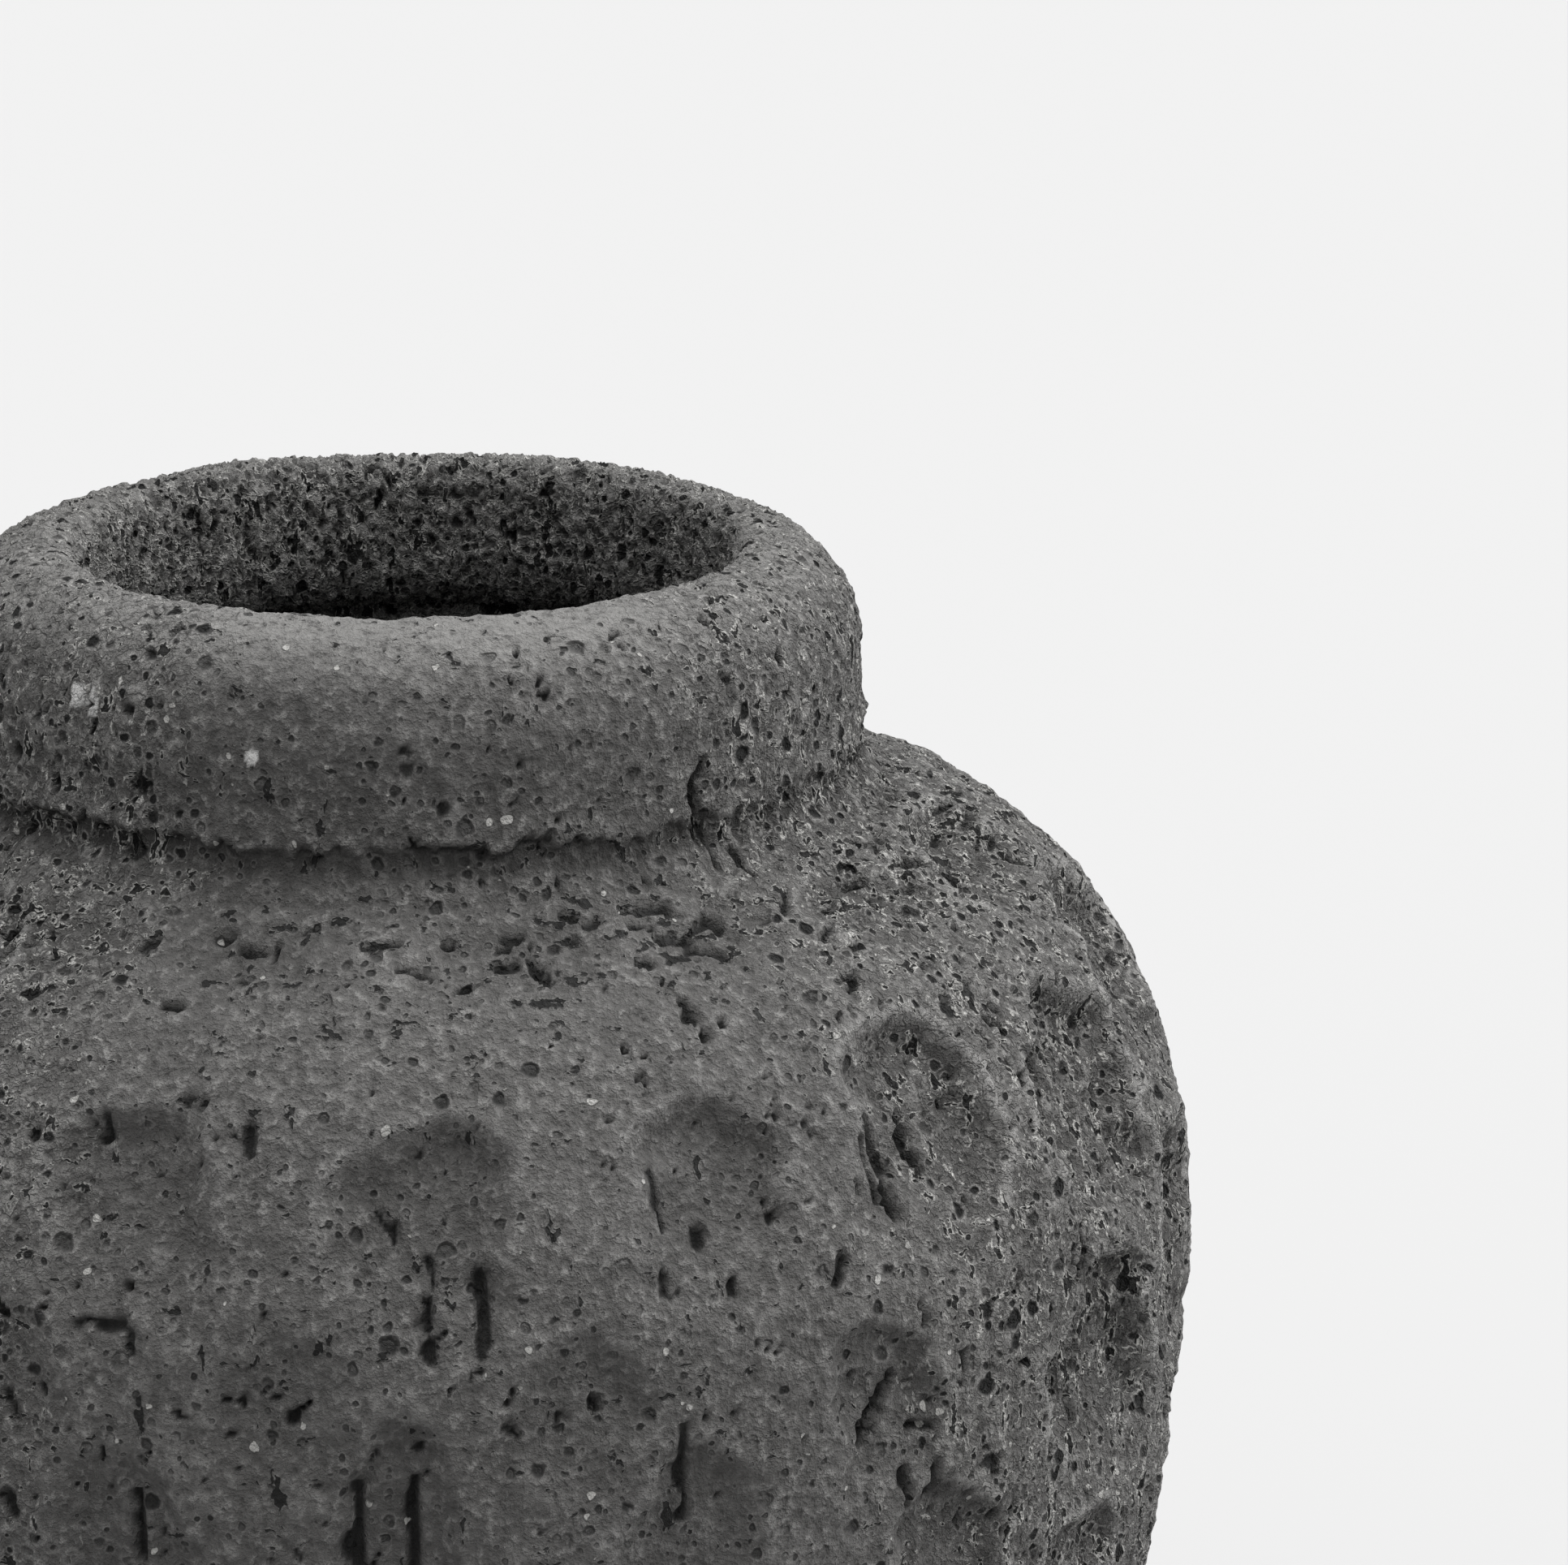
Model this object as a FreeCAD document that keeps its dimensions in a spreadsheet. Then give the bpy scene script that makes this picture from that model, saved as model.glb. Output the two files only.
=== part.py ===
import FreeCAD, Part
import math
import os

import Sketcher

# A hand-built stoneware jar: a base slab, ring courses of clay pressed on with rows of finger
# hollows, a shoulder course, a collar and a rolled lip, luted together with slip.
# It stands on z = 0 with its axis on +Z. All sizes are in millimetres and degrees.

# Driving dimensions. A share is a part of the total height, or for a radius of the belly
# radius. A lean is the slope of the wall's outward normal at a seam, up over outwards, times
# total_height / belly_radius, so the outline stretches as one when either changes.
SIZES = {
    "total_height": 400,
    "belly_radius": 174.5,
    "neck_share": 0.58,
    "neck_base_share": 0.87,
    "foot_share": 0.64,
    "foot_lean": -0.95,
    "foot_ring_width": 26,
    "foot_recess": 2,
    "foot_bevel": 3,
    "slab_thickness": 14,
    "floor_coil_size": 14,
    "floor_cove_radius": 30,
    "wall": 12,
    "seam_1_share": 0.2,
    "seam_2_share": 0.37,
    "seam_3_share": 0.53,
    "seam_4_share": 0.67,
    "seam_5_share": 0.81,
    "seam_1_lean": -0.715,
    "seam_2_lean": -0.525,
    "seam_3_lean": -0.27,
    "seam_4_lean": 0.34,
    "seam_5_lean": 2.6,
    "collar_wall": 17.5,
    "lip_height": 34,
    "lip_width": 29.5,
    "lip_round": 24,
    "lip_edge_round": 4,
    "lip_under_round": 12,
    "hollows_per_row": 18,
    "hollow_depth": 4.5,
    "hollow_across_radius": 62,
    "hollow_upright_radius": 100,
}
BELLY_COURSE = 4  # the course that holds the widest circle
TOP_COURSE = 5
# Rows start a quarter turn apart, which is half a step more than a whole number of steps
# when hollows_per_row is 18, so the hollows are staggered.
ROW_STARTS = ("XZ_Plane", "YZ_Plane")
SHOULDER_ROW = 0.6  # how far up the shoulder its hollows sit
SHEET = "sizes"

doc = FreeCAD.newDocument("stoneware_jar")
sheet = doc.addObject("Spreadsheet::Sheet", SHEET)
for row, (alias, number) in enumerate(SIZES.items(), start=1):
    sheet.set(f"A{row}", alias)
    sheet.set(f"B{row}", str(number))
    sheet.setAlias(f"B{row}", alias)
doc.recompute()


def size(alias):
    """The expression that reads one driving dimension."""
    return f"{SHEET}.{alias}"


def value(expression):
    """What an expression comes to now."""
    found = sheet.evalExpression(expression)
    return float(getattr(found, "Value", found))


def edge_between(start, end, bend):
    """A line, or an arc of the signed radius bend with its centre to the left of start-end."""
    if bend is None:
        return Part.LineSegment(start, end)
    chord = end - start
    left = FreeCAD.Vector(-chord.y, chord.x, 0).normalize()
    radius = abs(bend)
    reach = math.copysign(math.sqrt(radius**2 - (chord.Length / 2) ** 2), bend)
    centre = (start + end) * 0.5 + left * reach
    middle = centre - left * math.copysign(radius, bend)
    return Part.Arc(start, middle, end)


def closed_sketch(body, name, plane, corners):
    """A sketch of corners (label, across, up, bend): expressions for a corner's place, and
    for the signed radius of the edge that leaves it, or None for a straight edge."""
    sketch = body.newObject("Sketcher::SketchObject", name)
    origin_plane = next(o for o in body.Origin.OriginFeatures if o.Role == plane)
    sketch.AttachmentSupport = [(origin_plane, "")]
    sketch.MapMode = "FlatFace"
    points = [FreeCAD.Vector(value(across), value(up), 0) for _, across, up, _ in corners]
    bends = [None if bend is None else value(bend) for _, _, _, bend in corners]
    count = len(corners)
    for i in range(count):
        sketch.addGeometry(edge_between(points[i], points[(i + 1) % count], bends[i]), False)
    starts = [start_point(sketch, i, points[i]) for i in range(count)]
    for i in range(count):
        before = (i - 1) % count
        end_before = 3 - starts[before]
        sketch.addConstraint(Sketcher.Constraint("Coincident", before, end_before, i, starts[i]))
    for i, (label, across, up, bend) in enumerate(corners):
        bind(sketch, "DistanceX", (i, starts[i]), points[i].x, f"{label}_across", across)
        bind(sketch, "DistanceY", (i, starts[i]), points[i].y, f"{label}_up", up)
        if bend is not None:
            bind(sketch, "Radius", (i,), abs(bends[i]), f"{label}_bend", f"abs({bend})")
    return sketch


def start_point(sketch, index, place):
    """Which end of an edge, 1 or 2, lies at a place: an arc may run the other way round."""
    return 1 if sketch.getPoint(index, 1).distanceToPoint(place) < 1e-6 else 2


def bind(sketch, kind, where, number, name, expression):
    """Adds a named constraint and ties it to an expression."""
    at = sketch.addConstraint(Sketcher.Constraint(kind, *where, number))
    sketch.renameConstraint(at, name)
    sketch.setExpression(f"Constraints.{name}", expression)


def turned_body(label, corners):
    """A body turned about +Z from a closed sketch in the XZ plane."""
    body = doc.addObject("PartDesign::Body", label)
    body.Label = label
    sketch = closed_sketch(body, f"{label}_profile", "XZ_Plane", corners)
    turned = body.newObject("PartDesign::Revolution", f"{label}_turned")
    turned.Profile = sketch
    turned.ReferenceAxis = (sketch, ["V_Axis"])
    turned.Angle = 360
    body.Tip = turned
    doc.recompute()
    return body


def press_hollows(body, at_across, at_up, tilt, plane):
    """Presses a row of hollows into a course. Each is the bite of a barrel that lies along
    the wall: its axis stands off the wall, and the row goes round +Z from the plane."""
    label = body.Label
    depth, barrel = size("hollow_depth"), size("hollow_across_radius")
    upright = size("hollow_upright_radius")
    half = f"sqrt(2 * {upright} * {barrel} - {barrel} ^ 2)"  # half the barrel's length
    stand_off = f"({barrel} - {depth})"
    middle_across = f"({at_across} + {stand_off} * cos({tilt}))"
    middle_up = f"({at_up} + {stand_off} * sin({tilt}))"
    low = ("low", f"{middle_across} + {half} * sin({tilt})", f"{middle_up} - {half} * cos({tilt})")
    top = ("top", f"{middle_across} - {half} * sin({tilt})", f"{middle_up} + {half} * cos({tilt})")
    sketch = closed_sketch(body, f"{label}_barrel", plane, [(*low, None), (*top, upright)])
    axis = sketch.addGeometry(
        Part.LineSegment(sketch.getPoint(0, 1), sketch.getPoint(0, 2)), True
    )
    sketch.addConstraint(Sketcher.Constraint("Coincident", axis, 1, 0, 1))
    sketch.addConstraint(Sketcher.Constraint("Coincident", axis, 2, 0, 2))
    doc.recompute()
    before = body.Shape.Volume
    bite = body.newObject("PartDesign::Groove", f"{label}_hollow")
    bite.Profile = sketch
    bite.ReferenceAxis = (sketch, ["Axis0"])
    bite.Angle = 360
    body.Tip = bite
    doc.recompute()
    one = before - body.Shape.Volume
    row = body.newObject("PartDesign::PolarPattern", f"{label}_hollow_row")
    row.Originals = [bite]
    row.Axis = (next(o for o in body.Origin.OriginFeatures if o.Role == "Z_Axis"), [""])
    row.Angle = 360
    row.setExpression("Occurrences", size("hollows_per_row"))
    body.Tip = row
    doc.recompute()
    taken = before - body.Shape.Volume
    print(f"{label}: one hollow {one:.0f} mm3, the row {taken:.0f} mm3")
    if one < 100 or taken < 0.99 * one * row.Occurrences:
        raise RuntimeError(f"{label}: the hollows weren't cut")


def share(alias, whole="total_height"):
    """A size that is a share of the total height, or of another whole."""
    return f"({size(alias)} * {size(whole)})"


def neck_radius():
    """Outside of the collar and the lip."""
    return share("neck_share", "belly_radius")


def slope(alias):
    """The slope that a lean comes to at the jar's present proportions."""
    return f"({size(alias)} * {size('belly_radius')} / {size('total_height')})"


def seam(number):
    """Height of a seam between two courses, and how far the wall's normal tilts up there."""
    return share(f"seam_{number}_share"), f"atan({slope(f'seam_{number}_lean')})"


def bound(label, name):
    """The expression that reads a named constraint of another body's profile."""
    return f"({label}_profile.Constraints.{name} / 1 mm)"


def arc_radius(low, high):
    """Radius of the wall's arc between two seams, whose normals have these seams' tilts."""
    return f"(({high[0]} - {low[0]}) / (sin({high[1]}) - sin({low[1]})))"


def radius_through(across, up, tilt, to_across, to_up):
    """Radius of the arc that leaves a point square to its tilt and runs through another."""
    run, rise = f"({to_across} - {across})", f"({to_up} - {up})"
    return f"(-({run} ^ 2 + {rise} ^ 2) / (2 * ({run} * cos({tilt}) + {rise} * sin({tilt}))))"


def course(number):
    """One ring of the wall between two seams, its inner face the same arc set in by the wall."""
    label = f"wall_course_{number}"
    low, high = seam(number - 1), seam(number)
    radius = arc_radius(low, high)
    if number == BELLY_COURSE:
        low_across = f"({size('belly_radius')} - {radius} * (1 - cos({low[1]})))"
        high_across = f"({size('belly_radius')} - {radius} * (1 - cos({high[1]})))"
    elif number > BELLY_COURSE:
        low_across = bound(f"wall_course_{number - 1}", "outer_high_across")
        high_across = f"({low_across} + {radius} * (cos({high[1]}) - cos({low[1]})))"
    else:
        high_across = bound(f"wall_course_{number + 1}", "outer_low_across")
        low_across = f"({high_across} - {radius} * (cos({high[1]}) - cos({low[1]})))"
    wall = size("wall")
    return turned_body(
        label,
        [
            ("outer_low", low_across, low[0], radius),
            ("outer_high", high_across, high[0], None),
            ("inner_high", *set_in(high_across, *high), f"-({radius} - {wall})"),
            ("inner_low", *set_in(low_across, *low), None),
        ],
    )


def set_in(across, up, tilt):
    """A point of the outer face moved square to it through the wall."""
    wall = size("wall")
    return f"{across} - {wall} * cos({tilt})", f"{up} - {wall} * sin({tilt})"


def foot_course():
    """The lowest ring, which stands flat on the slab."""
    height, tilt = seam(1)
    across = bound("wall_course_2", "outer_low_across")
    foot_across, foot_up = slab_top_radius(), size("slab_thickness")
    radius = radius_through(across, height, tilt, foot_across, foot_up)
    inner = f"({radius} - {size('wall')})"
    centre_across = f"({across} - {radius} * cos({tilt}))"
    centre_up = f"({height} - {radius} * sin({tilt}))"
    inner_foot = f"({centre_across} + sqrt({inner} ^ 2 - ({foot_up} - {centre_up}) ^ 2))"
    body = turned_body(
        "wall_course_1",
        [
            ("outer_low", foot_across, foot_up, radius),
            ("outer_high", across, height, None),
            ("inner_high", *set_in(across, height, tilt), f"-{inner}"),
            ("inner_low", inner_foot, foot_up, None),
        ],
    )
    return body, centre_across, centre_up, inner


def slab_top_radius():
    """The slab's edge flares out to meet the wall."""
    foot = share("foot_share", "belly_radius")
    return f"({foot} - {size('slab_thickness')} * {slope('foot_lean')})"


def base_slab():
    """The floor: a slab that rests on a ring, with its middle recessed and its edge bevelled."""
    foot, bevel = share("foot_share", "belly_radius"), size("foot_bevel")
    ring = f"{foot} - {size('foot_ring_width')}"
    recess, top = size("foot_recess"), size("slab_thickness")
    return turned_body(
        "base_slab",
        [
            ("recess_middle", "0", recess, None),
            ("recess_edge", f"{ring} - {recess}", recess, None),
            ("ring_inside", ring, "0", None),
            ("ring_outside", f"{foot} - {bevel}", "0", None),
            ("bevel_top", f"{foot} - {bevel} * {slope('foot_lean')}", bevel, None),
            ("edge_top", slab_top_radius(), top, None),
            ("floor_middle", "0", top, None),
        ],
    )


def floor_coil(centre_across, centre_up, inner):
    """The coil pressed into the corner between floor and wall, smoothed to a cove."""
    coil, floor = size("floor_coil_size"), size("slab_thickness")
    corner = bound("wall_course_1", "inner_low_across")
    up = f"({floor} + {coil})"
    across = f"({centre_across} + sqrt({inner} ^ 2 - ({up} - {centre_up}) ^ 2))"
    return turned_body(
        "floor_coil",
        [
            ("corner", corner, floor, inner),
            ("wall_edge", across, up, f"-{size('floor_cove_radius')}"),
            ("floor_edge", f"{corner} - {coil}", floor, None),
        ],
    )


def shoulder_course():
    """The ring that closes in to the mouth. Its top is a flat seat for the collar."""
    height, tilt = seam(TOP_COURSE)
    across = bound(f"wall_course_{TOP_COURSE}", "outer_high_across")
    seat_across, seat_up = neck_radius(), share("neck_base_share")
    radius = radius_through(across, height, tilt, seat_across, seat_up)
    inner = f"({radius} - {size('wall')})"
    centre_across = f"({across} - {radius} * cos({tilt}))"
    centre_up = f"({height} - {radius} * sin({tilt}))"
    opening = opening_radius()
    inner_up = f"({centre_up} + sqrt({inner} ^ 2 - ({opening} - {centre_across}) ^ 2))"
    body = turned_body(
        "shoulder_course",
        [
            ("outer_low", across, height, radius),
            ("seat_outside", seat_across, seat_up, None),
            ("seat_inside", opening, seat_up, None),
            ("inner_high", opening, inner_up, f"-{inner}"),
            ("inner_low", *set_in(across, height, tilt), None),
        ],
    )
    return body, centre_across, centre_up, radius


def opening_radius():
    """Inside of the collar and of the hole that it stands over."""
    return f"({neck_radius()} - {size('collar_wall')})"


def lip_base():
    """Height of the seam between collar and lip."""
    return f"({size('total_height')} - {size('lip_height')})"


def collar_ring():
    """The upright ring on the shoulder's seat."""
    outer, inner = neck_radius(), opening_radius()
    low, high = share("neck_base_share"), lip_base()
    return turned_body(
        "collar_ring",
        [
            ("outer_low", outer, low, None),
            ("outer_high", outer, high, None),
            ("inner_high", inner, high, None),
            ("inner_low", inner, low, None),
        ],
    )


def lip_coil():
    """The rolled lip: a thick coil, rounded outside and hanging over the collar inside."""
    outer, top, base = neck_radius(), size("total_height"), lip_base()
    throat = f"({outer} - {size('lip_width')})"
    edge, under = size("lip_edge_round"), size("lip_under_round")
    overhang = f"({size('lip_width')} - {size('collar_wall')})"
    under = f"min({under}, {overhang})"
    spare = 1  # the least flat left beside a rounded edge
    widest = f"min({size('lip_width')} - {edge} - {spare}, {size('lip_height')} - {spare})"
    turn = f"min({size('lip_round')}, {widest})"
    return turned_body(
        "lip_coil",
        [
            ("outer_low", outer, base, None),
            ("outer_high", outer, f"{top} - {turn}", turn),
            ("crest_outside", f"{outer} - {turn}", top, None),
            ("crest_inside", f"{throat} + {edge}", top, edge),
            ("throat_high", throat, f"{top} - {edge}", None),
            ("throat_low", throat, f"{base} + {under}", under),
            ("under_low", f"{throat} + {under}", base, None),
        ],
    )


def point_on_arc(centre_across, centre_up, radius, up):
    """Across and tilt of an arc's point at a height."""
    rise = f"({up} - {centre_up})"
    return f"({centre_across} + sqrt({radius} ^ 2 - {rise} ^ 2))", f"asin({rise} / {radius})"


def press_course(body, number):
    """A row of hollows half way up a course, between those of the rows above and below."""
    high_up, high_tilt = seam(number)
    low_up = size("slab_thickness") if number == 1 else seam(number - 1)[0]
    middle_up = f"(({low_up} + {high_up}) / 2)"
    label = body.Label
    radius = bound(label, "outer_low_bend")
    centre_across = f"({bound(label, 'outer_high_across')} - {radius} * cos({high_tilt}))"
    centre_up = f"({high_up} - {radius} * sin({high_tilt}))"
    across, tilt = point_on_arc(centre_across, centre_up, radius, middle_up)
    press_hollows(body, across, middle_up, tilt, ROW_STARTS[number % 2])


def check(bodies):
    """Stops on anything that failed to recompute."""
    for thing in doc.Objects:
        if "Invalid" in thing.State or "Error" in thing.State:
            raise RuntimeError(f"{thing.Name} didn't recompute: {thing.State}")
    for body in bodies:
        shape = body.Shape
        if shape.isNull() or not shape.isValid() or len(shape.Solids) != 1:
            raise RuntimeError(f"{body.Label} has no sound solid")


def main():
    courses = {number: course(number) for number in (BELLY_COURSE, 3, 2, TOP_COURSE)}
    courses[1], *foot_arc = foot_course()
    shoulder, centre_across, centre_up, radius = shoulder_course()
    bodies = [base_slab(), floor_coil(*foot_arc), shoulder, collar_ring(), lip_coil()]
    for number, body in courses.items():
        press_course(body, number)
    low_up, high_up = seam(TOP_COURSE)[0], share("neck_base_share")
    shoulder_up = f"({low_up} + {SHOULDER_ROW} * ({high_up} - {low_up}))"
    across, tilt = point_on_arc(centre_across, centre_up, radius, shoulder_up)
    press_hollows(shoulder, across, shoulder_up, tilt, ROW_STARTS[0])
    bodies += courses.values()
    doc.recompute()
    check(bodies)
    os.makedirs("parts", exist_ok=True)
    for body in bodies:
        body.Shape.exportStep(f"parts/{body.Label}.step")
        print(body.Label, round(body.Shape.Volume), "mm3", body.Shape.BoundBox)


main()
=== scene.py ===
import math

import bpy
import numpy as np
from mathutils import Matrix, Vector
from mathutils import noise as mathNoise


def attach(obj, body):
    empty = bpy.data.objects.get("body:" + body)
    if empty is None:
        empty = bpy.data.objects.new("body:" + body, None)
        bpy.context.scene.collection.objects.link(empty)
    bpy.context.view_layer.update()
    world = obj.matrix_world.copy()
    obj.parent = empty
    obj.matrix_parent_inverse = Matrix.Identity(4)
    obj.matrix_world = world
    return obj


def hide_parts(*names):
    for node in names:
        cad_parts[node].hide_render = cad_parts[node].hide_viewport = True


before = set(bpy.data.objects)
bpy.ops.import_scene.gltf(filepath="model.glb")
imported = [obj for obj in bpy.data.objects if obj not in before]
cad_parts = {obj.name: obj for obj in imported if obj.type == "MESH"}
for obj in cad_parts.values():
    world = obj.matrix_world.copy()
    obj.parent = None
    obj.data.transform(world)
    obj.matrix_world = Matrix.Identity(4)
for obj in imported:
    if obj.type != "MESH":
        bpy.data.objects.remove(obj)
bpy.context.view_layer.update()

# The jar's outline, in metres. Seams are counted from the floor slab up.
jar = {
    "height": 0.4,
    "belly": 0.1745,
    "neck": 0.10121,
    "foot": 0.11168,
    "footLean": -0.95,
    "wall": 0.012,
    "collarWall": 0.0175,
    "seamHeights": (0.014, 0.08, 0.148, 0.212, 0.268, 0.324, 0.348),
    "seamLeans": (None, -0.715, -0.525, -0.27, 0.34, 2.6, None),
    "turnSteps": 1080,
    "cell": 0.00098,
}


def addNode(tree, kind, values=None, **settings):
    node = tree.nodes.new(kind)
    for key, value in settings.items():
        setattr(node, key, value)
    for key, value in (values or {}).items():
        if isinstance(value, bpy.types.NodeSocket):
            tree.links.new(value, node.inputs[key])
        else:
            node.inputs[key].default_value = value
    return node


def maths(tree, operation, first, second=0.0, clamp=False):
    node = addNode(tree, "ShaderNodeMath", {0: first, 1: second}, operation=operation, use_clamp=clamp)
    return node.outputs[0]


def fade(tree, value, low, high, toLow=0.0, toHigh=1.0):
    values = {"Value": value, "From Min": low, "From Max": high, "To Min": toLow, "To Max": toHigh}
    return addNode(tree, "ShaderNodeMapRange", values, interpolation_type="SMOOTHSTEP").outputs[0]


def times(tree, first, second, clamp=False):
    return maths(tree, "MULTIPLY", first, second, clamp)


def plus(tree, first, second, clamp=False):
    return maths(tree, "ADD", first, second, clamp)


def less(tree, first, second):
    return maths(tree, "SUBTRACT", first, second)


def most(tree, first, second):
    return maths(tree, "MAXIMUM", first, second)


def vectorMaths(tree, operation, first, second):
    return addNode(tree, "ShaderNodeVectorMath", {0: first, 1: second}, operation=operation).outputs[0]


def scaled(tree, vector, amount):
    return addNode(tree, "ShaderNodeVectorMath", {0: vector, "Scale": amount}, operation="SCALE").outputs[0]


def noise(tree, place, size, detail=2.0, roughness=0.5):
    values = {"Vector": place, "Scale": 1 / size, "Detail": detail, "Roughness": roughness}
    return addNode(tree, "ShaderNodeTexNoise", values)


def cells(tree, place, size):
    return addNode(tree, "ShaderNodeTexVoronoi", {"Vector": place, "Scale": 1 / size})


# bends a pattern, so that it doesn't look drawn
def bentPlace(tree, place, size, amount):
    bend = vectorMaths(tree, "SUBTRACT", noise(tree, place, size, 2).outputs["Color"], (0.5, 0.5, 0.5))
    return vectorMaths(tree, "ADD", place, scaled(tree, bend, amount))


# the outline is one smooth run of arcs, and a course is a piece of it between two seams
def wallArc(low, high, lowTilt, highTilt, end, endIsLow):
    radius = (high - low) / (math.sin(highTilt) - math.sin(lowTilt))
    height, tilt = (low, lowTilt) if endIsLow else (high, highTilt)
    centre = (end - radius * math.cos(tilt), height - radius * math.sin(tilt))
    return {"centre": centre, "radius": radius, "from": lowTilt, "to": highTilt}


def arcThrough(start, tilt, end, endIsHigh):
    run, rise = end[0] - start[0], end[1] - start[1]
    radius = -(run**2 + rise**2) / (2 * (run * math.cos(tilt) + rise * math.sin(tilt)))
    centre = (start[0] - radius * math.cos(tilt), start[1] - radius * math.sin(tilt))
    other = math.atan2(end[1] - centre[1], end[0] - centre[0])
    angles = (tilt, other) if endIsHigh else (other, tilt)
    return {"centre": centre, "radius": radius, "from": angles[0], "to": angles[1]}


def arcPoint(arc, tilt, inset=0.0):
    radius = arc["radius"] - inset
    return (arc["centre"][0] + radius * math.cos(tilt), arc["centre"][1] + radius * math.sin(tilt))


def outlineArcs():
    heights, squat = jar["seamHeights"], jar["belly"] / jar["height"]
    tilts = [None if lean is None else math.atan(lean * squat) for lean in jar["seamLeans"]]
    arcs = {}
    radius = (heights[4] - heights[3]) / (math.sin(tilts[4]) - math.sin(tilts[3]))
    middle = (jar["belly"] - radius, heights[3] - radius * math.sin(tilts[3]))
    arcs[4] = {"centre": middle, "radius": radius, "from": tilts[3], "to": tilts[4]}
    for course in (3, 2):
        end = arcPoint(arcs[course + 1], arcs[course + 1]["from"])[0]
        low, high = course - 1, course
        arcs[course] = wallArc(heights[low], heights[high], tilts[low], tilts[high], end, False)
    end = arcPoint(arcs[4], tilts[4])[0]
    arcs[5] = wallArc(heights[4], heights[5], tilts[4], tilts[5], end, True)
    slabTop = (jar["foot"] - heights[0] * jar["footLean"] * squat, heights[0])
    arcs[1] = arcThrough(arcPoint(arcs[2], tilts[1]), tilts[1], slabTop, False)
    arcs[6] = arcThrough(arcPoint(arcs[5], tilts[5]), tilts[5], (jar["neck"], heights[6]), True)
    return arcs


wallArcs = outlineArcs()
reach = 0.0  # length of the outside from the slab up
for course in range(1, 7):
    wallArcs[course]["start"] = reach
    reach += wallArcs[course]["radius"] * (wallArcs[course]["to"] - wallArcs[course]["from"])
neckReach = reach


def reachAt(height):
    for course in range(1, 7):
        arc = wallArcs[course]
        if height <= jar["seamHeights"][course]:
            tilt = math.asin((height - arc["centre"][1]) / arc["radius"])
            return arc["start"] + arc["radius"] * (tilt - arc["from"])
    return neckReach + height - jar["seamHeights"][6]


# sections of a profile: an arc from one tilt to another or a straight run
def arcSection(centre, radius, start, end, cell, face, reach=0.0):
    return {"centre": centre, "radius": radius, "from": start, "to": end, "face": face, "reach": reach,
            "steps": max(2, round(abs(end - start) * radius / cell))}


def runSection(start, end, cell, face, normal=(1.0, 0.0), reach=0.0):
    length = math.dist(start, end)
    return {"start": start, "end": end, "face": face, "normal": normal, "reach": reach,
            "steps": max(1, round(length / cell))}


def drawProfile(name, sections):
    bpy.ops.object.select_all(action="DESELECT")
    bpy.ops.mesh.primitive_plane_add(size=0.001)
    piece = bpy.context.object
    piece.name = piece.data.name = name
    bpy.ops.object.mode_set(mode="EDIT")
    bpy.ops.mesh.select_all(action="SELECT")
    bpy.ops.mesh.merge(type="CENTER")
    first = sections[0]
    across, up = arcPoint(first, first["from"]) if "centre" in first else first["start"]
    bpy.ops.transform.translate(value=(across, 0, up))
    for section in sections:
        if "centre" in section:
            centre = (section["centre"][0], 0, section["centre"][1])
            turn = section["to"] - section["from"]
            bpy.ops.mesh.spin(steps=section["steps"], angle=abs(turn), center=centre,
                              axis=(0, math.copysign(1, turn), 0))
        else:
            step = [(b - a) / section["steps"] for a, b in zip(section["start"], section["end"])]
            for _ in range(section["steps"]):
                bpy.ops.mesh.extrude_vertices_move(TRANSFORM_OT_translate={"value": (step[0], 0, step[1])})
    bpy.ops.mesh.select_all(action="SELECT")
    bpy.ops.mesh.remove_doubles(threshold=0.00002)
    bpy.ops.object.mode_set(mode="OBJECT")
    return piece


def applyModifier(piece, modifier):
    bpy.context.view_layer.objects.active = piece
    bpy.ops.object.modifier_apply(modifier=modifier.name)


def turnProfile(piece):
    screw = piece.modifiers.new("turned", "SCREW")
    screw.steps = screw.render_steps = jar["turnSteps"]
    screw.use_merge_vertices = True
    screw.merge_threshold = 0.00001
    screw.use_smooth_shade = True
    applyModifier(piece, screw)
    bpy.ops.object.mode_set(mode="EDIT")
    bpy.ops.mesh.select_all(action="SELECT")
    bpy.ops.mesh.normals_make_consistent(inside=False)
    bpy.ops.object.mode_set(mode="OBJECT")


def readPlaces(piece):
    places = np.empty(len(piece.data.vertices) * 3, np.float32)
    piece.data.vertices.foreach_get("co", places)
    return places.reshape(-1, 3).astype(float)


def storeNumbers(piece, name, numbers, kind="FLOAT"):
    layer = piece.data.attributes.new(name, kind, "POINT")
    layer.data.foreach_set("value" if kind == "FLOAT" else "vector", numbers.astype(np.float32).ravel())


faceNames = ("outside", "inside", "seam", "under")
closeBy = {"touching": 2e-6, "skinFirst": 1e-6, "tie": 1e-8}  # metres; at a corner the skin wins over the seam


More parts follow.
